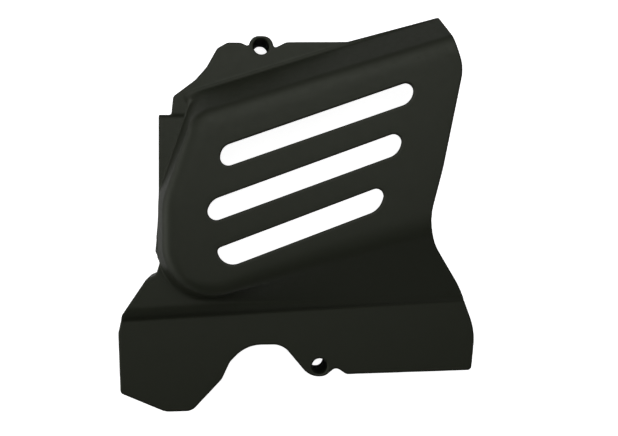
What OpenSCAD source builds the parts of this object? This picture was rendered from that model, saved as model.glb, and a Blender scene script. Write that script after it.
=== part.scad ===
// Motorcycle sprocket cover: one moulded shell with three slanted slots and
// two bolt lugs. Millimetres. The front face is up (+Z), the engine side is at
// z = 0, and the origin is the upper bolt hole's axis on its rear seat.

/* [Cover] */
// Overall width of the cover, between its outermost corners
cover_w = 158.6; // [148:0.5:172]
// Reach of the cover to the left of the upper bolt hole
left_reach = 62.2; // [60:0.2:70]
// Reach of the cover above the upper bolt hole
top_reach = 14.2; // [12:0.2:20]
// Reach of the lower left leg below the lower bolt hole
leg_reach = 19.2; // [15:0.2:26]

/* [Levels] */
// Height of the flange's front face over the engine seat
flange_h = 22; // [20:0.5:26]
// Height of the raised hood's face over the engine seat
hood_h = 37; // [34:0.5:42]
// Height of the lower left step over the flange
step_h = 4; // [3:0.25:5]
// Drop of the narrow left strip below the flange
strip_drop = 1; // [0.5:0.25:1.5]
// Thickness of the moulded wall
wall = 2.6; // [2.2:0.1:3]

/* [Hood] */
// Softening of the hood's upper edge, measured along the wall
edge_soft = 4; // [2:0.5:5]
// Depth of the rounded shoulder along the lower crease, at its left end
shoulder_left = 6; // [4:0.5:7]
// Depth of the same shoulder at its right end
shoulder_right = 2; // [1.5:0.5:3]

/* [Slots] */
// Height of each slot, measured straight up the cover
slot_h = 9.5; // [8.4:0.1:10.4]
// Distance from slot to slot, measured straight up the cover
slot_pitch = 21; // [19:0.2:22]
// Corner radius of the tight slot corners
slot_tight_r = 3.3; // [2:0.1:3.6]

/* [Fixings] */
// Diameter of the two bolt holes
bolt_hole_d = 6.6; // [6.2:0.1:7]
// Outer diameter of the bolt bosses
boss_d = 8.8; // [8.6:0.1:10]
// Sideways distance from the upper to the lower bolt hole
bolt_dx = 26; // [22:0.25:32]
// Distance down from the upper to the lower bolt hole
bolt_dy = 141; // [136:0.25:150]
// Thickness of the webs that brace the bosses
web_t = 2.2; // [1.8:0.1:3]
// Height of the shaft notch's arch over the lower bolt hole
arch_rise = 9.8; // [7:0.1:12]

/* [Skirt] */
// Height over the engine seat of the short skirt along the upper edge
top_skirt_z = 12; // [8:1:16]
// Height over the engine seat of the skirt along the lower right edge
right_skirt_z = 6; // [2:1:12]

/* [Hidden] */

body_colour = [0.2, 0.2, 0.19];
tall = hood_h + 20;
arc_step = 12;                  // degrees per facet round an outline corner
loft_steps = 9;                 // facets round each hood corner
loft_spans = [1, 2, 2, 2, 5, 6];    // facets along the hood's side after each corner
wall_steps = 3;                 // facets up the hood's wall
soft_steps = 4;                 // facets across the hood's softened edge
plate_z = flange_h - wall;      // underside of the flange plate
strip_z = flange_h - strip_drop;
skirt_overlap = 1;              // the skirt runs this far up into the plate
lower_bolt = [bolt_dx, -bolt_dy];

// The outline's edges hang on these four lines.
left_x = -left_reach;
right_x = cover_w - left_reach;
low_y = -bolt_dy;
leg_y = low_y - leg_reach;

strip_y = -30.2;                // where the strip steps down from the flange
strip_x = left_x + 17.5;        // left edge of the strip
strip_end_y = low_y + 67;       // the hood's foot rises from the strip to the step
strip_fade = 18;                // over this length
strip_low_y = low_y + 48.4;     // the strip ends here, at the step
lug_r = 4.2;                    // corner radius of the upper lug
lug_half_w = 4.65;              // half width of that lug
lug_top = 4.5;                  // how far it reaches past its bolt hole's axis

// Every edge is a list of [x, y, corner radius], and they run anticlockwise.
right_edge = [
    [right_x - 1.7, low_y - 2.8, 2], [right_x, low_y + 15, 28],
    [right_x - 6.9, low_y + 33.6, 50], [right_x - 25.55, low_y + 60.7, 25],
    [right_x - 18.55, -53.5, 60], [right_x - 9.7, -10, 18],
    [right_x - 17.45, top_reach, 0.8], [right_x - 58.4, 2.75, 6]
];
upper_lug = [
    [11, 2.2, 5], [5.4, -0.7, 1], [lug_half_w, lug_top, lug_r],
    [-lug_half_w, lug_top, lug_r], [-5.4, 0.15, 0.6], [-9, 1.65, 2]
];
shoulder_edge = [
    [-14.8, 1.6, 3], [-19.3, -1, 2.5], [-23.9, -9.3, 9], [left_x + 33.3, -15, 6],
    [left_x + 23.8, -22.2, 2.2]
];
strip_edge = [
    [left_x + 23, strip_y, 0.8], [strip_x, strip_y, 0.6], [strip_x, low_y + 67, 30],
    [strip_x - 1.5, low_y + 51, 1.5], [strip_x + 0.8, low_y + 46.7, 2],
    [strip_x - 0.9, low_y + 41.3, 1.5]
];
leg_edge = [
    [left_x + 12.5, low_y + 39.5, 2], [left_x + 1.8, low_y + 23.6, 2.5],
    [left_x, low_y + 15.7, 6], [left_x + 0.9, leg_y + 8.5, 2],
    [left_x + 20.4, leg_y, 9], [left_x + 31.9, leg_y + 0.15, 5.5],
    [-17.2, low_y - 5.2, 6], [-13.7, low_y + 2.3, 5],
    [-6.5, low_y + arch_rise, 16], [bolt_dx - 16.5, low_y + arch_rise, 9]
];
lower_lug = [
    [bolt_dx - 4.2, low_y - 5, 9.2], [bolt_dx + 2.5, low_y - 4.5, 4.8],
    [bolt_dx + 7.2, low_y - 0.6, 2.5], [bolt_dx + 12, low_y - 3.85, 2.6]
];
outline = concat(right_edge, upper_lug, shoulder_edge, strip_edge, leg_edge, lower_lug);

// The same outline without lugs and notch, which the skirt's inner side follows.
plain_outline = concat(right_edge, shoulder_edge,
    [[strip_x, strip_y, 3], [strip_x, low_y + 42.5, 3]], leg_edge,
    [[bolt_dx - 4, low_y - 3.4, 5]]);

// The hood's foot and its upper rim, corner for corner. Both run past the right
// edge of the cover, which leaves the hood open there for the chain.
right_end = right_x + 18.6;
foot = [
    [right_end, low_y + 31.6, 3], [right_end, 25.8, 3], [left_x + 32.6, -20.8, 4],
    [left_x + 16.2, low_y + 72.5, 30], [left_x + 18.7, low_y + 27.4, 25],
    [30, low_y + 29, 300]
];
rim = [
    [right_end, low_y + 73.9, 3], [right_end, 10.8, 3], [left_x + 33.3, -34.3, 5],
    [left_x + 21.9, low_y + 77, 40], [left_x + 21.9, low_y + 24.4, 24],
    [30, low_y + 49.6, 150]
];
lean = 0.55;                    // inset of the inner rim, as a share of the wall

// The crease along the foot of the step is a straight line.
crease_slope = 0.0522;
crease_y0 = low_y + 24.1;
step_full_x = left_x + 42.2;    // left of here the step has its full height
step_end_x = right_x - 1.4;
step_end_h = 0.4;
step_left_x = left_x - 13;      // the step's block starts out here
step_top_y = low_y + 46;        // and its level top ends here, under the hood

slot_first_y = -38.7;           // upper edge of the upper slot, at x = 0
slot_angles = [19.5, 20.2, 20.7];
slot_trims = [-0.35, -0.1, 0.25];   // each slot's own height, against slot_h
slot_lifts = [0, 0.2, 0.05];        // and its own height on the cover
slot_shapes = [
    // x of the left end's upper and lower corner, distance of the right end's
    // upper and lower corner from the cover's right side, then the radii of the
    // two left corners and the two right ones as shares of the slot's height
    [-17.0, -18.8, 30.4, 32.4, 0.62, 0.37, 0.36, 0.8],
    [-21.2, -26.6, 35.5, 37.6, 0.745, 0.39, 0.35, 0.8],
    [-19.3, -16.9, 42.2, 46.3, 0.2, 0.68, 0.32, 0.9]
];

function unit(v) = v / norm(v);
function flat(list) = [for (part = list) each part];
function turn(a) = a > 180 ? a - 360 : a < -180 ? a + 360 : a;
function xy(p) = [p[0], p[1]];

// Points round corner p of an outline, between its neighbours a and b, in n
// facets, or in as many as arc_step asks for when n is 0.
function corner(a, p, b, n) =
    let (u = unit(xy(a) - xy(p)), w = unit(xy(b) - xy(p)),
         half = acos(u * w) / 2,
         c = xy(p) + unit(u + w) * p[2] / sin(half),
         s = xy(p) + u * p[2] / tan(half) - c,
         e = xy(p) + w * p[2] / tan(half) - c,
         a0 = atan2(s[1], s[0]),
         da = turn(atan2(e[1], e[0]) - a0),
         k = n > 0 ? n : max(1, ceil(abs(da) / arc_step)))
    [for (i = [0:k]) c + p[2] * [cos(a0 + da * i / k), sin(a0 + da * i / k)]];

function rounded(list, n = 0) =
    let (m = len(list))
    flat([for (i = [0:m - 1]) corner(list[(i + m - 1) % m], list[i], list[(i + 1) % m], n)]);

// Rounded corners with the straight runs between them divided as spans says.
function rounded_runs(list, n, spans) =
    let (m = len(list),
         arcs = [for (i = [0:m - 1]) corner(list[(i + m - 1) % m], list[i], list[(i + 1) % m], n)])
    flat([for (i = [0:m - 1])
        let (a = arcs[i][n], b = arcs[(i + 1) % m][0])
        concat(arcs[i], spans[i] < 2 ? [] : [for (j = [1:spans[i] - 1]) a + (b - a) * j / spans[i]])]);

// The outline moved inwards by d, corner by corner.
function inset(list, d) =
    let (m = len(list))
    [for (i = [0:m - 1])
        let (p = list[i],
             e1 = unit(xy(p) - xy(list[(i + m - 1) % m])),
             e2 = unit(xy(list[(i + 1) % m]) - xy(p)),
             n1 = [-e1[1], e1[0]], n2 = [-e2[1], e2[0]],
             q = xy(p) + (n1 + n2) * d / (1 + n1 * n2),
             left = e1[0] * e2[1] - e1[1] * e2[0] > 0)
        [q[0], q[1], left ? max(p[2] - d, 0.6) : p[2] + d]];

// Height of the step over the flange, and depth of its shoulder, along x.
function along(x) = min(1, max(0, (x - step_full_x) / (step_end_x - step_full_x)));
function step_at(x) = step_h + (step_end_h - step_h) * along(x);
function shoulder_at(x) = shoulder_left + (shoulder_right - shoulder_left) * along(x);
function crease_at(x) = crease_y0 + crease_slope * x;

// A solid through rings that all have the same number of points.
module skin(rings) {
    m = len(rings[0]);
    k = len(rings);
    low = [for (i = [0:2]) let (s = [for (p = rings[0]) p[i]]) s * [for (p = s) 1] / m];
    high = [for (i = [0:2]) let (s = [for (p = rings[k - 1]) p[i]]) s * [for (p = s) 1] / m];
    points = concat(flat(rings), [low, high]);
    sides = [for (r = [0:k - 2], i = [0:m - 1])
        let (a = r * m + i, b = r * m + (i + 1) % m)
        each [[a, b + m, b], [a, a + m, b + m]]];
    ends = [for (i = [0:m - 1])
        each [[k * m, i, (i + 1) % m],
              [k * m + 1, (k - 1) * m + (i + 1) % m, (k - 1) * m + i]]];
    polyhedron(points = points, faces = concat(sides, ends), convexity = 8);
}

// The hood: walls that lean in from the foot to the rim, and a flat face, with
// the edge between them softened. Along the lower side it stands on the step.
module hood(base, top, base_z, sink, height, soft) {
    a = rounded_runs(base, loft_steps, loft_spans);
    b = rounded_runs(top, loft_steps, loft_spans);
    m = len(a);
    foot_z = [for (p = a)
        let (t = min(1, max(0, (strip_end_y - p[1]) / strip_fade)))
        strip_z + (flange_h + step_at(p[0]) - strip_z) * t - sink];
    ground = [for (p = a) [p[0], p[1], base_z]];
    foot_ring = [for (i = [0:m - 1]) [a[i][0], a[i][1], foot_z[i]]];
    wall_rings = [for (j = [1:wall_steps - 1])
        [for (i = [0:m - 1])
            let (r = [b[i][0], b[i][1], height], f = foot_ring[i])
            f + (r + unit(f - r) * soft - f) * j / wall_steps]];
    soft_rings = [for (j = [0:soft_steps])
        let (t = j / soft_steps)
        [for (i = [0:m - 1])
            let (r = [b[i][0], b[i][1], height],
                 f = foot_ring[i],
                 wall_pt = r + unit(f - r) * soft,
                 face_pt = r + unit([r[0] - f[0], r[1] - f[1], 0]) * soft)
            (1 - t) * (1 - t) * wall_pt + 2 * t * (1 - t) * r + t * t * face_pt]];
    skin(concat([ground, foot_ring], wall_rings, soft_rings));
}

// The step: a block with a rounded shoulder along the crease, which fades out
// towards the right.
module step_block(z0, in_y, drop, back) {
    sections = [for (x = [right_end, step_end_x, step_full_x, step_left_x])
        let (y = crease_at(x) + drop, h = step_at(x), d = shoulder_at(x))
        concat([[x, y, z0]],
               [for (s = [0:0.2:1]) [x, y + d * s, flange_h - back + h * (1 - pow(1 - s, 2))]],
               [[x, in_y, flange_h - back + h], [x, in_y, z0]])];
    skin(sections);
}

module outline_prism(list, z0, z1) {
    translate([0, 0, z0]) linear_extrude(height = z1 - z0) polygon(rounded(list));
}

module box(x0, x1, y0, y1, z0, z1) {
    translate([x0, y0, z0]) cube([x1 - x0, y1 - y0, z1 - z0]);
}

// Front plate of the flange, with the left strip one step lower.
module plate() {
    difference() {
        outline_prism(outline, plate_z, flange_h);
        box(strip_x - 5, left_x + 34, strip_low_y, strip_y, strip_z, flange_h + 1);
    }
}

// Skirt that runs back from the plate along the closed sides.
module skirt() {
    far_right = right_x + 5;
    far_up = top_reach + 5;
    arch_left = -15.6;
    lug_right = bolt_dx + 8;
    difference() {
        outline_prism(outline, 0, plate_z + skirt_overlap);
        outline_prism(inset(plain_outline, wall), -1, plate_z + 2);
        // open to the right for the chain, and over the arch for the shaft
        box(right_x - 30, far_right, low_y, far_up, -1, plate_z);
        box(arch_left, lug_right, low_y - 8, low_y + 20, -1, plate_z);
        // shorter along the upper edge and the lower right edge
        box(strip_x - 5, far_right, strip_y - 3.8, far_up, -1, top_skirt_z);
        box(lug_right - 3, far_right, low_y - 8, low_y + 20, -1, right_skirt_z);
    }
}

module boss(at) {
    translate([at[0], at[1], 0]) cylinder(h = plate_z + 1, d = boss_d, $fn = 64);
}

module webs() {
    // a short web from each boss, along the plate
    box(-web_t / 2, web_t / 2, -12, 0, top_skirt_z, plate_z + 1);
    translate([lower_bolt[0], lower_bolt[1], 0])
        box(-web_t / 2, web_t / 2, 0, 14, right_skirt_z, plate_z + 1);
}

module slot(i) {
    s = slot_shapes[i];
    g = tan(slot_angles[i]);
    h = slot_h + slot_trims[i];
    up = slot_first_y - slot_pitch * i + slot_lifts[i];
    ur = right_x - s[2];
    lr = right_x - s[3];
    points = [
        [s[1], up + g * s[1] - h, s[5] * h], [lr, up + g * lr - h, s[7] * h],
        [ur, up + g * ur, min(slot_tight_r, s[6] * h)], [s[0], up + g * s[0], s[4] * h]
    ];
    outline_prism(points, flange_h - 4, hood_h + 5);
}

module sprocket_cover() {
    color(body_colour) difference() {
        union() {
            difference() {
                union() {
                    plate();
                    intersection() {
                        union() {
                            hood(foot, rim, plate_z, 0.3, hood_h, edge_soft);
                            step_block(plate_z, step_top_y, 0, 0);
                        }
                        outline_prism(outline, 0, tall);
                    }
                    skirt();
                }
                hood(inset(foot, wall), inset(rim, wall * lean), -1, 0.3 + wall,
                     hood_h - wall, edge_soft);
                intersection() {
                    step_block(-1, step_top_y - 3, wall, wall);
                    outline_prism(inset(plain_outline, wall), -1, tall);
                }
            }
            boss([0, 0]);
            boss(lower_bolt);
            webs();
        }
        translate([0, 0, -1]) cylinder(h = tall, d = bolt_hole_d, $fn = 64);
        translate([lower_bolt[0], lower_bolt[1], -1]) cylinder(h = tall, d = bolt_hole_d, $fn = 64);
        for (i = [0:2]) slot(i);
    }
}

sprocket_cover();
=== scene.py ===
import bpy, bmesh, math
from mathutils import Matrix, Vector


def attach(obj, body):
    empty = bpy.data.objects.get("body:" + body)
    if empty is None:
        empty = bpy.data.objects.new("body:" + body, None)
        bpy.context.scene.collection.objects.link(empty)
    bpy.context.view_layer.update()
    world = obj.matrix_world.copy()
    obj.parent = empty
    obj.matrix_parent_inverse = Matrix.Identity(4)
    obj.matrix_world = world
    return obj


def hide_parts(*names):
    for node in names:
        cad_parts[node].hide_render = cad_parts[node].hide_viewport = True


# Motorcycle sprocket cover, lying face up. The shell's sizes and points are in millimetres.

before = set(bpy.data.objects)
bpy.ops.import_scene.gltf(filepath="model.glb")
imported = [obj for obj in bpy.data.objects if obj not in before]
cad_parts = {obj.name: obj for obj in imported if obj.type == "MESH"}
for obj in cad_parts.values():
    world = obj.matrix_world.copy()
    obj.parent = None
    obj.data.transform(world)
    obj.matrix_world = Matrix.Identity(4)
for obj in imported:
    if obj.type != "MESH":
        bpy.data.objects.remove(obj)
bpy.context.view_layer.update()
mm = 0.001

# What may be changed about the shell. It is the solid's shape drawn finer, with softer edges.
shell = {
    "coverWidth": 158.6, "leftReach": 62.2, "topReach": 14.2, "legReach": 19.2,
    "flangeHeight": 22, "hoodHeight": 37, "wall": 2.6,
    "sink": 0.3,            # how far the hood's foot starts inside the flange
    "innerRim": 0.55,       # the hollow's upper rim steps in by this share of the wall
    "edgeSoft": 4,          # softening of the hood's upper edge, down the wall
    "faceSoft": 7.5,        # and over the face
    "crispShare": 0.55,     # part of that left off round the lower left corner
    "crispAngle": -130, "crispSpread": 50,
    # step across the lower part: full height at the left, fading to its end height
    "stepHeight": 4, "stepEnd": 0.9, "stepUp": 24.1, "stepTilt": 0.0522, "stepBack": 46,
    "shoulderLeft": 6, "shoulderRight": 1.8, "shoulderRound": 1.9,
    "stripDrop": 0.5,       # the left strip lies this far under the flange
    "stripTop": 67, "stripFade": 18,
    # sweep where the hood's top side meets the flange, wider round the corner
    "flareOut": 1.1, "flareUp": 1.2, "ledge": 0.3, "flareFrom": -30, "flareFade": 7,
    "cornerOut": 3.6, "cornerUp": 3, "cornerAngle": 135, "cornerSpread": 26,
    "plainOut": 0.5, "plainUp": 0.8, "plainTuck": 0.2,      # and along the other sides
    "slotHeight": 9.5, "slotPitch": 21, "slotTop": -38.7, "tightCorner": 3.3,
    "boltHole": 6.6, "bossWidth": 8.8, "boltAcross": 26, "boltDown": 141,
    "holeEase": 0.2,        # smoothing closes the bores by this much
    "webThickness": 2.2, "upperWeb": 12, "lowerWeb": 14,
    "archRise": 9.8, "topSkirt": 12, "rightSkirt": 6,
    "leastCorner": 0.6,     # smallest radius of an inner corner
    "arcStep": 4,           # degrees per facet round an outline corner
    "hoodSteps": 26,        # facets round each hood corner
    "wallSteps": 10, "softSteps": 10, "sweepSteps": 8, "shoulderSteps": 20, "rodSteps": 96,
    "grid": 0.38,           # size of the remesh cells
    "smoothing": 6,         # passes that round the moulded edges
    "faceLimit": 170000,
}

leftX = -shell["leftReach"]
rightX = shell["coverWidth"] - shell["leftReach"]
topY = shell["topReach"]
boltX = shell["boltAcross"]
lowY = -shell["boltDown"]
legY = lowY - shell["legReach"]
flangeZ = shell["flangeHeight"]
hoodZ = shell["hoodHeight"]
wall = shell["wall"]
plateZ = flangeZ - wall
stripZ = flangeZ - shell["stripDrop"]
stripX, stripY = leftX + 17.5, -30.2
rightEnd = rightX + 18.6                        # hood and step run out past the cover here
fadeStart, fadeEnd = leftX + 42.2, rightX - 1.4     # the step's height fades between these

# Corners as x, y and corner radius, anticlockwise
rightEdge = [
    (rightX - 1.7, lowY - 2.8, 2), (rightX - 0.04, lowY + 15, 28),
    (rightX - 6.9, lowY + 33.6, 50), (rightX - 25.55, lowY + 60.7, 25),
    (rightX - 18.55, -53.5, 60), (rightX - 9.7, -10, 18),
    (rightX - 17.45, topY, 0.8), (rightX - 58.4, 2.75, 6)]
upperLug = [
    (11, 2.2, 5), (5.5, -0.7, 1), (4.7, 4.7, 4.45),
    (-4.7, 4.7, 4.45), (-5.5, 0.1, 0.6), (-9, 1.65, 2)]
shoulderEdge = [
    (-14.8, 1.6, 3), (-19.3, -1, 2.5), (-23.9, -9.3, 9), (leftX + 33.3, -15, 6),
    (leftX + 23.8, -22.2, 2.2)]
stripEdge = [
    (leftX + 23, stripY, 0.8), (stripX, stripY, 0.6), (stripX, lowY + 67, 30),
    (stripX - 1.5, lowY + 51, 1.5), (stripX + 0.8, lowY + 46.7, 2),
    (stripX - 0.9, lowY + 41.3, 1.5)]
legEdge = [
    (leftX + 12.5, lowY + 39.5, 2), (leftX + 1.8, lowY + 23.6, 2.5),
    (leftX, lowY + 15.7, 6), (leftX + 0.9, legY + 8.5, 2),
    (leftX + 20.4, legY, 9), (leftX + 31.9, legY + 0.15, 5.5),
    (-17.2, lowY - 5.2, 6), (-13.7, lowY + 2.3, 5),
    (-6.5, lowY + shell["archRise"], 16), (boltX - 16.5, lowY + shell["archRise"], 9)]
lowerLug = [
    (boltX - 4.2, lowY - 5, 9.2), (boltX + 2.5, lowY - 4.5, 4.8),
    (boltX + 7.2, lowY - 0.6, 2.5), (boltX + 12, lowY - 3.85, 2.6)]
outline = rightEdge + upperLug + shoulderEdge + stripEdge + legEdge + lowerLug
plainOutline = rightEdge + shoulderEdge + [
    (stripX, stripY, 3), (stripX, lowY + 42.5, 3)] + legEdge + [(boltX - 4, lowY - 3.4, 5)]

# Foot and upper rim of the hood, corner for corner
foot = [
    (rightEnd, lowY + 31.6, 3), (rightEnd, 25.8, 3), (leftX + 32.6, -20.8, 14),
    (leftX + 16.2, lowY + 72.5, 30), (leftX + 18.7, lowY + 31, 22), (30, lowY + 29, 300)]
rim = [
    (rightEnd, lowY + 73.9, 3), (rightEnd, 12.8, 3), (leftX + 33.3, -32.4, 12),
    (leftX + 20.8, lowY + 73.2, 26), (leftX + 20.8, lowY + 24.2, 22), (30, lowY + 49.6, 150)]
sideRuns = [3, 8, 8, 8, 20, 24]     # facets along the hood's side after each corner

slotShapes = [
    # Left end's upper and lower x, right end's distances from the cover's right
    # side, then the four corner radii as shares of the slot's height
    {"upLeft": -17.0, "lowLeft": -18.8, "upRight": 30.4, "lowRight": 32.4,
     "radii": (0.62, 0.37, 0.36, 0.8), "angle": 19.5, "trim": -0.35, "lift": 0},
    {"upLeft": -21.2, "lowLeft": -26.6, "upRight": 35.5, "lowRight": 37.6,
     "radii": (0.745, 0.39, 0.35, 0.8), "angle": 20.2, "trim": -0.1, "lift": 0.2},
    {"upLeft": -19.3, "lowLeft": -16.9, "upRight": 42.2, "lowRight": 46.3,
     "radii": (0.2, 0.68, 0.32, 0.9), "angle": 20.7, "trim": 0.25, "lift": 0.05}]


def cornerArc(before, corner, after, steps=0):
    p, radius = Vector(corner[:2]), corner[2]
    u = (Vector(before[:2]) - p).normalized()
    w = (Vector(after[:2]) - p).normalized()
    half = math.acos(max(-1, min(1, u.dot(w)))) / 2
    centre = p + (u + w).normalized() * radius / math.sin(half)
    start = p + u * radius / math.tan(half) - centre
    stop = p + w * radius / math.tan(half) - centre
    first = math.atan2(start.y, start.x)
    turn = (math.atan2(stop.y, stop.x) - first + math.pi) % (2 * math.pi) - math.pi
    count = steps or max(1, math.ceil(abs(math.degrees(turn)) / shell["arcStep"]))
    return [centre + radius * Vector((math.cos(first + turn * i / count),
                                      math.sin(first + turn * i / count)))
            for i in range(count + 1)]


def rounded(corners):
    m = len(corners)
    return [p for i in range(m)
            for p in cornerArc(corners[i - 1], corners[i], corners[(i + 1) % m])]


def roundedRuns(corners, steps, runs):
    m = len(corners)
    arcs = [cornerArc(corners[i - 1], corners[i], corners[(i + 1) % m], steps) for i in range(m)]
    ring = []
    for i in range(m):
        a, b = arcs[i][-1], arcs[(i + 1) % m][0]
        ring += arcs[i] + [a.lerp(b, j / runs[i]) for j in range(1, runs[i])]
    return ring


def insetCorners(corners, d):
    m, moved = len(corners), []
    for i, (x, y, radius) in enumerate(corners):
        p = Vector((x, y))
        e1 = (p - Vector(corners[i - 1][:2])).normalized()
        e2 = (Vector(corners[(i + 1) % m][:2]) - p).normalized()
        n1, n2 = Vector((-e1.y, e1.x)), Vector((-e2.y, e2.x))
        q = p + (n1 + n2) * d / (1 + n1.dot(n2))
        leftTurn = e1.x * e2.y - e1.y * e2.x > 0
        moved.append((q.x, q.y, max(radius - d, shell["leastCorner"]) if leftTurn else radius + d))
    return moved


def makeObject(name, points, faces):
    bm = bmesh.new()
    verts = [bm.verts.new(Vector(p) * mm) for p in points]
    for f in faces:
        bm.faces.new([verts[i] for i in f])
    bmesh.ops.remove_doubles(bm, verts=bm.verts, dist=1e-7)
    bmesh.ops.triangulate(bm, faces=bm.faces)
    bmesh.ops.recalc_face_normals(bm, faces=bm.faces)
    mesh = bpy.data.meshes.new(name)
    bm.to_mesh(mesh)
    bm.free()
    obj = bpy.data.objects.new(name, mesh)
    bpy.context.scene.collection.objects.link(obj)
    return obj


def skinRings(name, rings):
    m, k = len(rings[0]), len(rings)
    points = [p for ring in rings for p in ring]
    faces = [(r * m + i, r * m + (i + 1) % m, (r + 1) * m + (i + 1) % m, (r + 1) * m + i)
             for r in range(k - 1) for i in range(m)]
    for ring, offset in ((rings[0], 0), (rings[-1], (k - 1) * m)):     # a fan closes each end
        points.append(sum((Vector(p) for p in ring), Vector((0, 0, 0))) / m)
        centre = len(points) - 1
        faces += [(centre, offset + i, offset + (i + 1) % m) for i in range(m)]
    return makeObject(name, points, faces)


def prism(name, corners, z0, z1):
    ring = rounded(corners)
    m = len(ring)
    points = [(p.x, p.y, z) for z in (z0, z1) for p in ring]
    faces = [tuple(range(m)), tuple(range(m, 2 * m))]
    faces += [(i, (i + 1) % m, m + (i + 1) % m, m + i) for i in range(m)]
    return makeObject(name, points, faces)


def block(name, x0, x1, y0, y1, z0, z1):
    points = [(x, y, z) for z in (z0, z1) for x, y in ((x0, y0), (x1, y0), (x1, y1), (x0, y1))]
    faces = [(0, 1, 2, 3), (4, 5, 6, 7)]
    faces += [(i, (i + 1) % 4, 4 + (i + 1) % 4, 4 + i) for i in range(4)]
    return makeObject(name, points, faces)


def rod(name, x, y, z0, z1, diameter):
    ring = [(x + math.cos(a) * diameter / 2, y + math.sin(a) * diameter / 2)
            for a in (2 * math.pi * i / shell["rodSteps"] for i in range(shell["rodSteps"]))]
    return skinRings(name, [[(px, py, z) for px, py in ring] for z in (z0, z1)])


def combine(target, tool, operation):
    mod = target.modifiers.new(operation, "BOOLEAN")
    mod.operation = operation
    mod.solver = "MANIFOLD"
    mod.object = tool
    applyModifiers(target)
    bpy.data.objects.remove(tool)


def applyModifiers(obj):
    graph = bpy.context.evaluated_depsgraph_get()
    mesh = bpy.data.meshes.new_from_object(obj.evaluated_get(graph))
    obj.modifiers.clear()
    obj.data = mesh


def clamp(value):
    return min(1, max(0, value))


def along(x):
    return clamp((x - fadeStart) / (fadeEnd - fadeStart))


def stepRise(x):
    return shell["stepHeight"] + (shell["stepEnd"] - shell["stepHeight"]) * along(x)


def facing(out, angle, spread):
    away = abs(math.degrees(math.atan2(out.y, out.x)) - angle)
    return max(0, 1 - away / spread)    # 1 where the side faces that way


def curve(first, pull, last, steps):
    rings = []
    for j in range(steps + 1):
        t = j / steps
        rings.append([(1 - t) ** 2 * p + 2 * t * (1 - t) * q + t * t * w
                      for p, q, w in zip(first, pull, last)])
    return rings


def ringNormals(ring):
    m, normals = len(ring), []
    for i in range(m):
        t = ring[(i + 1) % m] - ring[i - 1]
        normals.append(Vector((t.y, -t.x, 0)).normalized())
    return normals


def hoodSolid(name, base, top, baseZ, sink, height, flared=False):
    a = roundedRuns(base, shell["hoodSteps"], sideRuns)
    b = roundedRuns(top, shell["hoodSteps"], sideRuns)
    footRing = []
    for p in a:
        rise = clamp((lowY + shell["stripTop"] - p.y) / shell["stripFade"])
        footZ = stripZ + (flangeZ + stepRise(p.x) - stripZ) * rise - sink
        footRing.append(Vector((p.x, p.y, footZ)))
    rimRing = [Vector((q.x, q.y, height)) for q in b]
    wallTop = [r + (f - r).normalized() * shell["edgeSoft"] for f, r in zip(footRing, rimRing)]
    faceEdge = []
    for r, out in zip(rimRing, ringNormals(rimRing)):
        crisp = shell["crispShare"] * facing(out, shell["crispAngle"], shell["crispSpread"])
        faceEdge.append(r - out * shell["faceSoft"] * (1 - crisp))
    wallFoot = footRing
    rings = [[(p.x, p.y, baseZ) for p in a], footRing]
    if flared:
        lip, middle, wallFoot = [], [], []
        for f, r, out in zip(footRing, rimRing, ringNormals(footRing)):
            k = clamp((f.y - shell["flareFrom"]) / shell["flareFade"])
            corner = facing(out, shell["cornerAngle"], shell["cornerSpread"])
            corner = corner * corner * (3 - 2 * corner)
            reach = shell["plainOut"] + (shell["flareOut"] - shell["plainOut"]) * k
            climb = shell["plainUp"] + (shell["flareUp"] - shell["plainUp"]) * k
            climb += shell["cornerUp"] * corner
            m = f + Vector((0, 0, sink + (shell["stripDrop"] + shell["ledge"]) * k))
            tuck = Vector((shell["cornerOut"] * corner, 0, shell["plainTuck"] * (1 - k)))
            lip.append(m + out * reach - tuck)
            middle.append(m)
            wallFoot.append(m + (r - m).normalized() * climb)
        rings = [[(p.x, p.y, baseZ) for p in lip]]
        rings += curve(lip, middle, wallFoot, shell["sweepSteps"])
    for j in range(1, shell["wallSteps"]):
        rings.append([f.lerp(w, j / shell["wallSteps"]) for f, w in zip(wallFoot, wallTop)])
    rings += curve(wallTop, rimRing, faceEdge, shell["softSteps"])
    return skinRings(name, rings)


def stepSolid(name, z0, backY, inset):
    steps = shell["shoulderSteps"]
    sections = []
    for x in (rightEnd, fadeEnd, fadeStart, leftX - 13):
        y, z = lowY + shell["stepUp"] + shell["stepTilt"] * x + inset, flangeZ - inset
        rise = stepRise(x)
        depth = shell["shoulderLeft"] + (shell["shoulderRight"] - shell["shoulderLeft"]) * along(x)
        shoulder = [(x, y + depth * s, z + rise * (1 - (1 - s) ** shell["shoulderRound"]))
                    for s in (i / steps for i in range(steps + 1))]
        sections.append([(x, y, z0)] + shoulder + [(x, backY, z + rise), (x, backY, z0)])
    return skinRings(name, sections)


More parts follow.
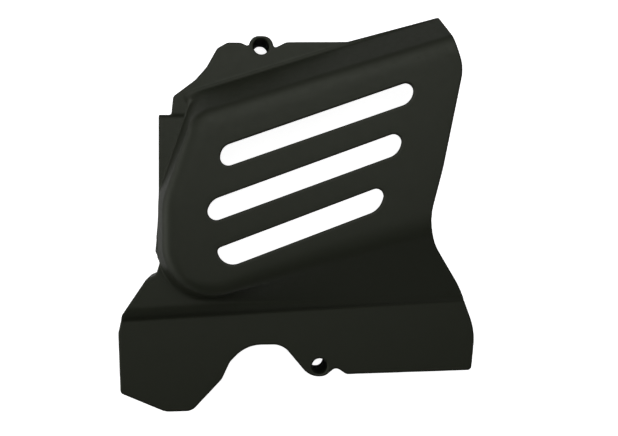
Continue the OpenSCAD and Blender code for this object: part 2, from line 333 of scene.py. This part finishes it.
def makeShell():
    tall = hoodZ + 20
    body = prism("shellPlate", outline, plateZ, flangeZ)
    dropLeft, dropRight, dropLow = stripX - 5, leftX + 34, lowY + 48.4
    drop = [[(dropLeft, dropLow, z), (dropRight, dropLow, z), (dropRight, y, z), (dropLeft, y, z)]
            for y, z in ((stripY - 1, stripZ), (stripY + 3, flangeZ + 1))]
    combine(body, skinRings("stripDrop", drop), "DIFFERENCE")
    raised = hoodSolid("hood", foot, rim, plateZ, shell["sink"], hoodZ, flared=True)
    stepBack = lowY + shell["stepBack"]
    combine(raised, stepSolid("step", plateZ, stepBack, 0), "UNION")
    combine(raised, prism("trim", outline, 0, tall), "INTERSECT")
    combine(body, raised, "UNION")

    skirt = prism("skirt", outline, 0, plateZ + 1)
    inside = insetCorners(plainOutline, wall)
    combine(skirt, prism("skirtInside", inside, -1, plateZ + 2), "DIFFERENCE")
    farX, farY, lugX = rightX + 5, topY + 5, boltX + 8
    openSides = {
        "chainSide": (rightX - 30, farX, lowY, farY, -1, plateZ),
        "archSide": (-15.6, lugX, lowY - 8, lowY + 20, -1, plateZ),
        "upperSide": (stripX - 5, farX, stripY - 3.8, farY, -1, shell["topSkirt"]),
        "lowRightSide": (lugX - 3, farX, lowY - 8, lowY + 20, -1, shell["rightSkirt"])}
    for name, cut in openSides.items():
        combine(skirt, block(name, *cut), "DIFFERENCE")
    combine(body, skirt, "UNION")

    hollow = hoodSolid("hoodInside", insetCorners(foot, wall),
                       insetCorners(rim, wall * shell["innerRim"]),
                       -1, shell["sink"] + wall, hoodZ - wall)
    combine(body, hollow, "DIFFERENCE")
    under = stepSolid("stepInside", -1, stepBack - 3, wall)
    combine(under, prism("stepTrim", inside, -1, tall), "INTERSECT")
    combine(body, under, "DIFFERENCE")

    half = shell["webThickness"] / 2
    lugs = {"upper": (0, 0, -shell["upperWeb"], 0, shell["topSkirt"]),
            "lower": (boltX, lowY, lowY, lowY + shell["lowerWeb"], shell["rightSkirt"])}
    for name, (x, y, webFrom, webTo, webZ) in lugs.items():
        combine(body, rod(name + "Boss", x, y, 0, plateZ + 1, shell["bossWidth"]), "UNION")
        web = block(name + "Web", x - half, x + half, webFrom, webTo, webZ, plateZ + 1)
        combine(body, web, "UNION")
    for name, (x, y, *_) in lugs.items():
        bore = shell["boltHole"] + shell["holeEase"]
        combine(body, rod(name + "Hole", x, y, -1, tall, bore), "DIFFERENCE")
    for i, s in enumerate(slotShapes):
        slope = math.tan(math.radians(s["angle"]))
        height = shell["slotHeight"] + s["trim"]
        up = shell["slotTop"] - shell["slotPitch"] * i + s["lift"]
        upRight, lowRight = rightX - s["upRight"], rightX - s["lowRight"]
        r = [part * height for part in s["radii"]]
        corners = [
            (s["lowLeft"], up + slope * s["lowLeft"] - height, r[1]),
            (lowRight, up + slope * lowRight - height, r[3]),
            (upRight, up + slope * upRight, min(shell["tightCorner"], r[2])),
            (s["upLeft"], up + slope * s["upLeft"], r[0])]
        combine(body, prism("slot", corners, flangeZ - 4, hoodZ + 5), "DIFFERENCE")
    print("shell cut:", len(body.data.polygons), "faces")

    remesh = body.modifiers.new("evenMesh", "REMESH")
    remesh.mode = "VOXEL"
    remesh.voxel_size = shell["grid"] * mm
    soften = body.modifiers.new("roundedEdges", "SMOOTH")
    soften.factor = 0.5
    soften.iterations = shell["smoothing"]
    applyModifiers(body)
    print("shell remeshed:", len(body.data.polygons), "faces")
    body.data.calc_loop_triangles()
    thin = body.modifiers.new("fewerFaces", "DECIMATE")
    thin.ratio = min(1, shell["faceLimit"] / len(body.data.loop_triangles))
    applyModifiers(body)
    for polygon in body.data.polygons:
        polygon.use_smooth = True
    body.name = "sprocketCoverShell"
    print("shell finished:", len(body.data.polygons), "faces")
    return body


blackFinish = {
    "deepColour": (0.0110, 0.0127, 0.0072, 1), "paleColour": (0.0128, 0.0148, 0.0088, 1),
    "sheenTint": (0.96, 1.0, 0.88, 1), "gloss": 0.34, "smoothRough": 0.46, "dullRough": 0.52,
    # noises as scale, detail and roughness
    "flow": (22, 3, 0.5), "speckle": (420, 2, 0.5), "grain": (1500, 4, 0.6),
    "flowGain": 1.2, "flowShift": -0.35, "speckleGain": 0.5, "speckleRange": (0.3, 0.7),
    "grainDepth": 0.00007, "grainStrength": 0.35,
}


def satinBlack():
    mat = bpy.data.materials.new("satinBlackMoulding")
    mat.use_nodes = True
    nodes, links = mat.node_tree.nodes, mat.node_tree.links
    shader = nodes["Principled BSDF"]
    shader.inputs["Specular IOR Level"].default_value = blackFinish["gloss"]
    shader.inputs["Specular Tint"].default_value = blackFinish["sheenTint"]
    place = nodes.new("ShaderNodeTexCoord")

    def noise(name):
        n = nodes.new("ShaderNodeTexNoise")
        for socket, value in zip(("Scale", "Detail", "Roughness"), blackFinish[name]):
            n.inputs[socket].default_value = value
        links.new(place.outputs["Object"], n.inputs["Vector"])
        return n

    flow, speckle, grain = noise("flow"), noise("speckle"), noise("grain")
    tone = nodes.new("ShaderNodeMix")
    tone.data_type = "RGBA"
    tone.inputs["A"].default_value = blackFinish["deepColour"]
    tone.inputs["B"].default_value = blackFinish["paleColour"]
    shift, blend = nodes.new("ShaderNodeMath"), nodes.new("ShaderNodeMath")
    shift.operation = blend.operation = "MULTIPLY_ADD"
    links.new(flow.outputs["Fac"], shift.inputs[0])
    shift.inputs[1].default_value = blackFinish["flowGain"]
    shift.inputs[2].default_value = blackFinish["flowShift"]
    links.new(speckle.outputs["Fac"], blend.inputs[0])
    blend.inputs[1].default_value = blackFinish["speckleGain"]
    links.new(shift.outputs[0], blend.inputs[2])
    links.new(blend.outputs[0], tone.inputs["Factor"])
    links.new(tone.outputs["Result"], shader.inputs["Base Color"])

    gloss = nodes.new("ShaderNodeMapRange")
    gloss.inputs["From Min"].default_value = blackFinish["speckleRange"][0]
    gloss.inputs["From Max"].default_value = blackFinish["speckleRange"][1]
    gloss.inputs["To Min"].default_value = blackFinish["smoothRough"]
    gloss.inputs["To Max"].default_value = blackFinish["dullRough"]
    links.new(speckle.outputs["Fac"], gloss.inputs["Value"])
    links.new(gloss.outputs["Result"], shader.inputs["Roughness"])

    bump = nodes.new("ShaderNodeBump")
    bump.inputs["Strength"].default_value = blackFinish["grainStrength"]
    bump.inputs["Distance"].default_value = blackFinish["grainDepth"]
    links.new(grain.outputs["Fac"], bump.inputs["Height"])
    links.new(bump.outputs["Normal"], shader.inputs["Normal"])
    return mat


cover = makeShell()
cover.data.materials.clear()
cover.data.materials.append(satinBlack())
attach(cover, "root")
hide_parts("sprocket_cover")
print("shell placed and finished")

studio = {
    "floorSize": 6000, "floorDepth": 12, "floorGap": 0.2,       # in millimetres
    "floorColour": (0.8, 0.8, 0.8, 1), "seenWhite": 0.95, "worldFill": 0.04,
    "aim": (0.01, -0.07, 0.02), "boxSize": 1.0,     # in metres, as are the places
    "boxes": {
        "highBox": {"place": (0.01, 0.418, 1.116), "power": 6.2},
        "farBox": {"place": (0.01, 0.822, 0.823), "power": 0.8},
        "leftBox": {"place": (-1.131, -0.07, 0.391), "power": 6.8},
        "lowRightBox": {"place": (0.581, -1.058, 0.391), "power": 1.1},
        "lowLeftBox": {"place": (-0.84, -0.92, 0.391), "power": 1.0},
    },
}


def makeFloor():
    side = studio["floorSize"] / 2
    floor = block("studioFloor", -side, side, -side, side,
                  -studio["floorDepth"], -studio["floorGap"])
    mat = bpy.data.materials.new("paleFloor")
    mat.use_nodes = True
    nodes, links = mat.node_tree.nodes, mat.node_tree.links
    nodes.clear()
    out = nodes.new("ShaderNodeOutputMaterial")
    paint = nodes.new("ShaderNodeBsdfDiffuse")
    paint.inputs["Color"].default_value = studio["floorColour"]
    glow = nodes.new("ShaderNodeEmission")
    both = nodes.new("ShaderNodeAddShader")
    rays = nodes.new("ShaderNodeLightPath")
    seen = nodes.new("ShaderNodeMath")
    seen.operation = "MAXIMUM"
    links.new(rays.outputs["Is Camera Ray"], seen.inputs[0])
    links.new(rays.outputs["Is Transmission Ray"], seen.inputs[1])
    strength = nodes.new("ShaderNodeMath")
    strength.operation = "MULTIPLY"
    links.new(seen.outputs[0], strength.inputs[0])
    strength.inputs[1].default_value = studio["seenWhite"]
    links.new(strength.outputs[0], glow.inputs["Strength"])
    links.new(paint.outputs[0], both.inputs[0])
    links.new(glow.outputs[0], both.inputs[1])
    links.new(both.outputs[0], out.inputs["Surface"])
    floor.data.materials.append(mat)


def makeWorld():
    world = bpy.data.worlds.new("studioAir")
    bpy.context.scene.world = world
    world.use_nodes = True
    nodes, links = world.node_tree.nodes, world.node_tree.links
    nodes.clear()
    out = nodes.new("ShaderNodeOutputWorld")
    fill = nodes.new("ShaderNodeBackground")
    fill.inputs["Strength"].default_value = studio["worldFill"]
    white = nodes.new("ShaderNodeBackground")
    white.inputs["Color"].default_value = (1, 1, 1, 1)
    pick = nodes.new("ShaderNodeMixShader")
    rays = nodes.new("ShaderNodeLightPath")
    links.new(rays.outputs["Is Camera Ray"], pick.inputs["Fac"])
    links.new(fill.outputs[0], pick.inputs[1])
    links.new(white.outputs[0], pick.inputs[2])
    links.new(pick.outputs[0], out.inputs["Surface"])


def softBox(name, spec):
    lamp = bpy.data.lights.new(name, "AREA")
    lamp.shape = "SQUARE"
    lamp.size = studio["boxSize"]
    lamp.energy = spec["power"]
    obj = bpy.data.objects.new(name, lamp)
    obj.location = spec["place"]
    beam = Vector(studio["aim"]) - Vector(spec["place"])
    obj.rotation_euler = beam.to_track_quat("-Z", "Y").to_euler()
    bpy.context.scene.collection.objects.link(obj)


makeFloor()
makeWorld()
for boxName, boxSpec in studio["boxes"].items():
    softBox(boxName, boxSpec)
print("studio set")

view = {
    "place": (-0.013865, -0.067459, 0.422),     # in metres
    "towards": (0.0876357, -0.0197981, -0.9959558),
    "lens": 52.951, "sensor": 36, "shiftX": -0.0008, "shiftY": 0.0008, "clip": (0.01, 20),
}


def makeCamera():
    cam = bpy.data.cameras.new("photoCamera")
    cam.lens = view["lens"]
    cam.sensor_width = view["sensor"]
    cam.shift_x, cam.shift_y = view["shiftX"], view["shiftY"]
    cam.clip_start, cam.clip_end = view["clip"]
    obj = bpy.data.objects.new("photoCamera", cam)
    back = -Vector(view["towards"]).normalized()
    right = Vector((1, 0, 0))
    right = (right - back * right.dot(back)).normalized()
    up = back.cross(right)
    turned = Matrix((right, up, back)).transposed().to_4x4()
    turned.translation = Vector(view["place"])
    obj.matrix_world = turned
    bpy.context.scene.collection.objects.link(obj)
    bpy.context.scene.camera = obj


makeCamera()
bpy.context.scene.view_settings.view_transform = "Standard"
bpy.context.view_layer.update()
